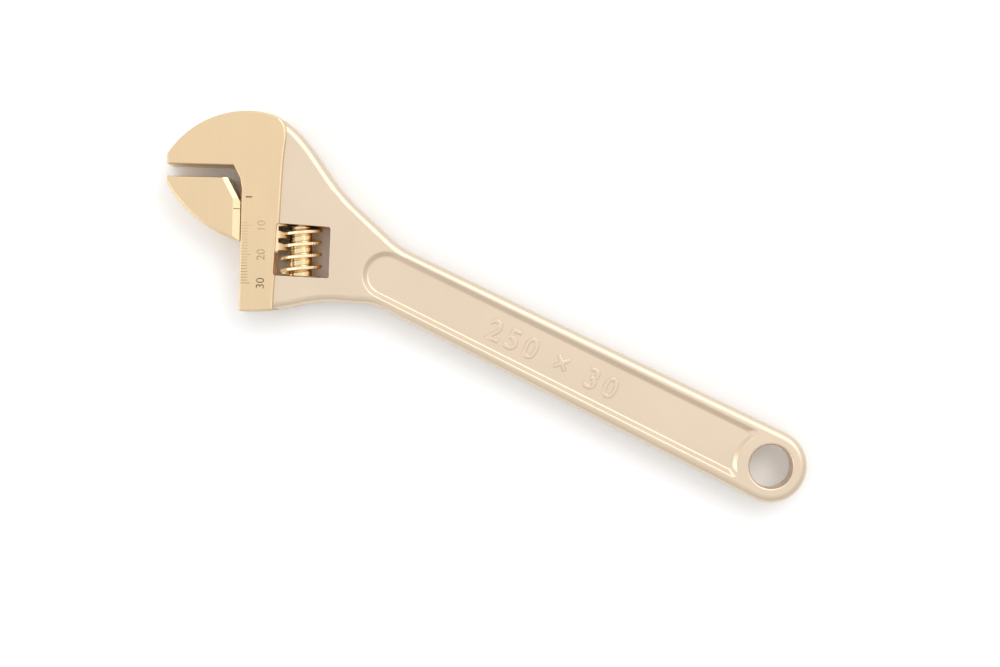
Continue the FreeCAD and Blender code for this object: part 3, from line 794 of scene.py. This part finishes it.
class WRENCH_OT_pin(bpy.types.Operator):
    """Turned finish of the worm's pin, and drawn wire for its spring"""

    bl_idname = "wrench.pin"
    bl_label = "Pin and spring finish"

    def execute(self, context):
        settings = context.scene.wrench_finish
        wear_finish("worm_pin", turned_finish("Turned pin", settings.ground, settings, 0.26))
        wear_finish("worm_spring", turned_finish("Spring wire", settings.steel, settings, 0.3))
        return {"FINISHED"}


class WRENCH_OT_size(bpy.types.Operator):
    """Raised size numerals on the handle's panel"""

    bl_idname = "wrench.size"
    bl_label = "Raised size"

    def execute(self, context):
        marks = context.scene.wrench_marks
        material = raised_finish(context.scene.wrench_finish)
        source = numerals(marks.size_text, marks.size_height, marks.size_rise, marks.size_rounding, material,
                          spacing=marks.size_spacing, boldness=marks.size_boldness)
        place = Matrix.Translation((marks.size_middle, 0.75 * MM, marks.panel_floor)) @ HANDLE_TURN
        settle("size_numerals", source, place, "frame")
        return {"FINISHED"}


class WRENCH_OT_scale(bpy.types.Operator):
    """Etched ticks and numerals of the jaw scale, and the jaw's index line"""

    bl_idname = "wrench.scale"
    bl_label = "Etched scale"

    def execute(self, context):
        settings = context.scene.wrench_finish
        marks = context.scene.wrench_marks
        zero = marks.zero_from_face
        top = HEAD_TO_ROW @ Matrix.Translation((0, 0, HEAD_TOP))
        fading = etched_finish("Etched scale", settings, zero + 14 * MM, zero + 30 * MM)
        strong = etched_finish("Etched index", settings, zero - 4 * MM, zero - 2 * MM)

        values = {"First": marks.first_tick, "Last": marks.last_tick, "Pitch": marks.tick_pitch,
                  "Length": marks.tick_length, "Long Length": marks.long_tick_length,
                  "Width": marks.tick_width, "Thickness": marks.mark_depth}
        ticks = grown("scale_ticks", tick_tree(fading), values)
        place = top @ Matrix.Translation((-marks.tick_margin, zero, 0))
        settle("scale_ticks", ticks, place, "frame")

        for reading in (10, 20, 30):
            middle = (-marks.numeral_inset, zero + reading * marks.tick_pitch, 0)
            place = top @ Matrix.Translation(middle) @ NUMERAL_TURN
            source = numerals(str(reading), marks.numeral_height, marks.mark_depth / 2, 0.0, fading)
            settle(f"scale_numeral_{reading}", source, place, "frame")

        bar = plate("zero_bar", (2.2 * MM, 0.5 * MM, marks.mark_depth), strong)
        settle("zero_bar", bar, top @ Matrix.Translation((-2.7 * MM, zero, 0)), "frame")

        index = plate("jaw_index", (2.3 * MM, 0.3 * MM, marks.mark_depth), strong)
        middle = (JAW_GAP + BEVEL_WIDTH / 2, zero + REST_OPENING, -BEVEL_FALL / 2)
        tilt = Matrix.Rotation(-math.atan2(BEVEL_FALL, BEVEL_WIDTH), 4, "Y")
        settle("jaw_index", index, top @ Matrix.Translation(middle) @ tilt, "jaw")
        return {"FINISHED"}


class WRENCH_OT_stage(bpy.types.Operator):
    """Pale floor, soft studio light and the camera"""

    bl_idname = "wrench.stage"
    bl_label = "Stage"

    def execute(self, context):
        settings = context.scene.wrench_stage
        scene = context.scene
        scene.view_settings.view_transform = "Standard"

        half = settings.floor_size / 2
        mesh = bpy.data.meshes.new("floor")
        corners = [(-half, -half, 0), (half, -half, 0), (half, half, 0), (-half, half, 0)]
        mesh.from_pydata(corners, [], [(0, 1, 2, 3)])
        mesh.transform(Matrix.Translation((settings.camera_along, 0, CAD_LOW.z)))
        mesh.materials.append(paper_finish(settings))
        floor = bpy.data.objects.new("floor", mesh)
        scene.collection.objects.link(floor)

        turn = settings.camera_turn
        camera_data = bpy.data.cameras.new("camera")
        camera_data.lens = settings.lens
        camera_data.clip_end = 10.0
        camera = bpy.data.objects.new("camera", camera_data)
        over = Vector((settings.camera_along, 0.5 * MM, 0))
        camera.matrix_world = Matrix.Translation(over + Z_AXIS * settings.camera_height) @ \
            Matrix.Rotation(math.pi + turn, 4, "Z")
        scene.collection.objects.link(camera)
        scene.camera = camera

        self.add_sky(scene, settings)
        key_way = self.away(settings.key_turn, settings.key_height)
        fill_way = self.away(settings.fill_turn, settings.fill_height)
        self.add_softbox("key", over, key_way * KEY_DISTANCE, KEY_SIZE, settings.key_power)
        self.add_softbox("fill", over, fill_way * FILL_DISTANCE, FILL_SIZE, settings.fill_power)
        return {"FINISHED"}

    @staticmethod
    def away(turn, height):
        """The direction that lies at a turn about the vertical and a height above the floor."""
        flat = math.cos(height)
        return Vector((flat * math.cos(turn), flat * math.sin(turn), math.sin(height)))

    @classmethod
    def add_sky(cls, scene, settings):
        """An even pale sky, brighter overhead and on one side."""
        world = bpy.data.worlds.new("sky")
        world.use_nodes = True
        tree = world.node_tree
        direction = add(tree, "ShaderNodeTexCoord").outputs["Generated"]
        bright_side = cls.away(settings.sky_turn, 0.0)
        towards = add(tree, "ShaderNodeVectorMath", {0: direction, 1: bright_side}, operation="DOT_PRODUCT")
        above = add(tree, "ShaderNodeSeparateXYZ", {"Vector": direction}).outputs["Z"]
        lift = ramp(tree, above, 0.0, 1.0, settings.horizon, settings.zenith)
        sideways = math_node(tree, "MULTIPLY", towards.outputs["Value"], settings.sky_slope)
        bright = math_node(tree, "MAXIMUM", math_node(tree, "ADD", lift, sideways), 0.0)
        background = tree.nodes["Background"]
        background.inputs["Color"].default_value = (1.0, 1.0, 1.0, 1.0)
        tree.links.new(bright, background.inputs["Strength"])
        scene.world = world

    @staticmethod
    def add_softbox(name, target, offset, size, power):
        """A softbox at an offset from its target, facing it."""
        light = bpy.data.lights.new(name, "AREA")
        light.shape = "RECTANGLE"
        light.size, light.size_y = size
        light.energy = power
        lamp = bpy.data.objects.new(name, light)
        facing = offset.to_track_quat("Z", "Y").to_matrix().to_4x4()
        lamp.matrix_world = Matrix.Translation(target + offset) @ facing
        bpy.context.scene.collection.objects.link(lamp)


OPERATORS = (WRENCH_OT_body, WRENCH_OT_jaw, WRENCH_OT_worm, WRENCH_OT_pin, WRENCH_OT_size, WRENCH_OT_scale,
             WRENCH_OT_stage)


class WRENCH_PT_pieces(bpy.types.Panel):
    """The wrench's pieces and their settings"""

    bl_idname = "WRENCH_PT_pieces"
    bl_label = "Adjustable Wrench"
    bl_space_type = "VIEW_3D"
    bl_region_type = "UI"
    bl_category = "Wrench"

    def draw(self, context):
        for group in SETTINGS:
            settings = getattr(context.scene, group)
            column = self.layout.column(align=True)
            for name in settings.__annotations__:
                column.prop(settings, name)
        for operator in OPERATORS:
            self.layout.operator(operator.bl_idname)


SETTINGS = {"wrench_finish": WrenchFinish, "wrench_worm": WrenchWorm, "wrench_marks": WrenchMarks,
            "wrench_stage": WrenchStage}
CLASSES = (*SETTINGS.values(), *OPERATORS, WRENCH_PT_pieces)


def register():
    for made in CLASSES:
        bpy.utils.register_class(made)
    for name, group in SETTINGS.items():
        setattr(bpy.types.Scene, name, PointerProperty(type=group))


def unregister():
    for name in SETTINGS:
        delattr(bpy.types.Scene, name)
    for made in reversed(CLASSES):
        bpy.utils.unregister_class(made)


def main():
    register()
    bpy.ops.wrench.body()
    bpy.ops.wrench.jaw()
    bpy.ops.wrench.worm()
    bpy.ops.wrench.pin()
    bpy.ops.wrench.size()
    bpy.ops.wrench.scale()
    bpy.ops.wrench.stage()


if __name__ == "__main__":
    main()
